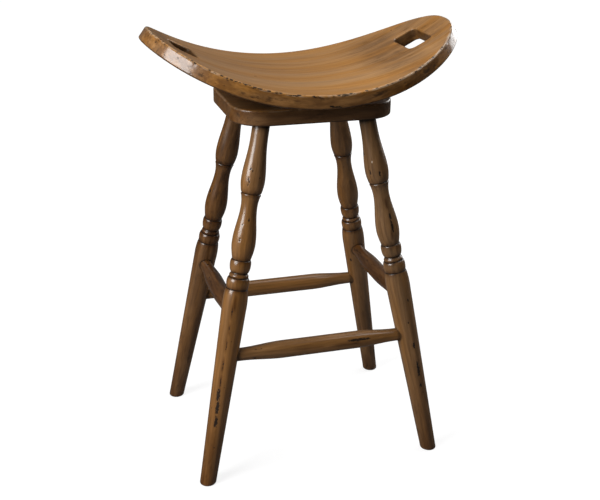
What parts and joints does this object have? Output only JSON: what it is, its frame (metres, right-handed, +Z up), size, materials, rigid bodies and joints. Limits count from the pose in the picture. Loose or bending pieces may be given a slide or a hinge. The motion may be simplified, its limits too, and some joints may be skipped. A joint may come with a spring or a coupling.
{
  "type": "swivel bar stool",
  "caption": "Backless bar stool: bowed oval seat with hand holes turns on a ball bearing over a base with turned legs and stretchers.",
  "frame": {"origin": "on the floor, under the middle of the seat and of the base", "axes": "+Z up, X along the long way of the seat at rest, -Y towards the front stretcher"},
  "size_m": [0.534, 0.3398, 0.7587],
  "materials": {
    "seat_wood": "honey brown stain, worn and glazed, satin lacquer",
    "base_wood": "brown stain, dark glaze in the turnings, satin lacquer",
    "plate_steel": "zinc plated pressed steel",
    "ball_steel": "polished bearing steel",
    "cage_brass": "satin brass",
    "screw_steel": "yellow zinc plated steel"
  },
  "bodies": {
    "base": {"base_board": "base_wood", "leg_front_left": "base_wood", "leg_front_right": "base_wood", "leg_back_left": "base_wood", "leg_back_right": "base_wood", "stretcher_front": "base_wood", "stretcher_back": "base_wood", "stretcher_left": "base_wood", "stretcher_right": "base_wood", "swivel_lower_plate": "plate_steel", "swivel_rivet": "plate_steel", "thrust_washer": "cage_brass", "base_screws": "screw_steel"},
    "cage": {"ball_cage": "cage_brass", "bearing_balls": "ball_steel"},
    "seat": {"seat": "seat_wood", "swivel_upper_plate": "plate_steel", "seat_screws": "screw_steel"}
  },
  "joints": [
    {"name": "seat_swivel", "type": "hinge", "parent": "base", "child": "seat", "pos_m": [0, 0, 0.651], "axis": [0, 0, 1], "continuous": true},
    {"name": "cage_turn", "type": "hinge", "parent": "base", "child": "cage", "pos_m": [0, 0, 0.651], "axis": [0, 0, 1], "continuous": true}
  ],
  "couplings": [
    {"joint": "cage_turn", "follows": "seat_swivel", "ratio": 0.5}
  ]
}
